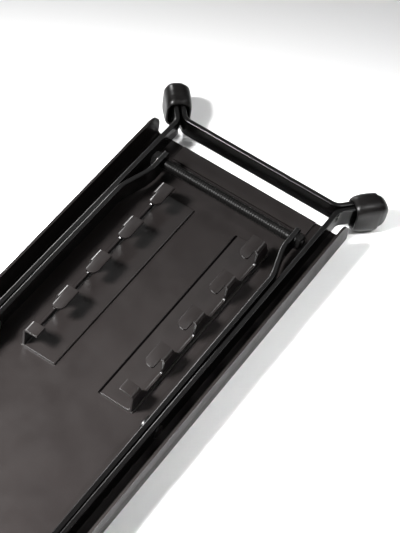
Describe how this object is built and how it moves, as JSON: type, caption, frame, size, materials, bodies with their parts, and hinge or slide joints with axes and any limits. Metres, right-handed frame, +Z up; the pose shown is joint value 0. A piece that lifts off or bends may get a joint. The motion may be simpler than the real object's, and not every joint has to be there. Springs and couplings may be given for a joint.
{
  "type": "folding footstool",
  "caption": "Folding musician's footstool, stored flat on its rubber tread: steel tray, hook racks and scissor legs with rubber feet.",
  "frame": {"origin": "centre of the rubber tread's face, which the folded stool lies on, under the middle of its bounding box", "axes": "+Z up from the tread towards the folded legs (in use the stool is turned over, so its feet point along +Z as modelled), +X towards the outer leg's feet, +Y to the left seen from the -X end"},
  "size_m": [0.3432, 0.1244, 0.022],
  "materials": {
    "tread_paint": "satin black powder coat",
    "rack_paint": "satin black powder coat",
    "bar_paint": "semi-gloss black paint",
    "foot_rubber": "moulded, faint sheen",
    "mat_rubber": "matte, grooved",
    "fixing_black": "black, semi-gloss",
    "lock_bar_black": "black, finely ribbed"
  },
  "bodies": {
    "tread": {"tread_plate": "tread_paint", "tread_mat": "mat_rubber", "hook_rack_left": "rack_paint", "hook_rack_right": "rack_paint", "leg_pivot_rivet_left": "fixing_black", "leg_pivot_rivet_right": "fixing_black", "leg_pivot_washer_left": "fixing_black", "leg_pivot_washer_right": "fixing_black"},
    "outer_leg_frame": {"outer_leg": "bar_paint", "outer_foot_left": "foot_rubber", "outer_foot_right": "foot_rubber", "scissor_rivet_left": "fixing_black", "scissor_rivet_right": "fixing_black", "scissor_washer_left": "fixing_black", "scissor_washer_right": "fixing_black"},
    "inner_leg_frame": {"inner_leg": "bar_paint", "inner_foot_left": "foot_rubber", "inner_foot_right": "foot_rubber", "lock_bar": "lock_bar_black", "lock_washer_left": "fixing_black", "lock_washer_right": "fixing_black", "lock_nut_left": "fixing_black", "lock_nut_right": "fixing_black"}
  },
  "joints": [
    {"name": "leg_fold", "type": "hinge", "parent": "tread", "child": "outer_leg_frame", "pos_m": [-0.12398, 0, 0.01609], "axis": [0, -1, 0], "range_deg": [0, 59]},
    {"name": "scissor", "type": "hinge", "parent": "outer_leg_frame", "child": "inner_leg_frame", "pos_m": [0, 0, 0.0141], "axis": [0, 1, 0], "range_deg": [0, 108.5]}
  ],
  "couplings": [
    {"joint": "scissor", "follows": "leg_fold", "ratio": 1.83}
  ]
}
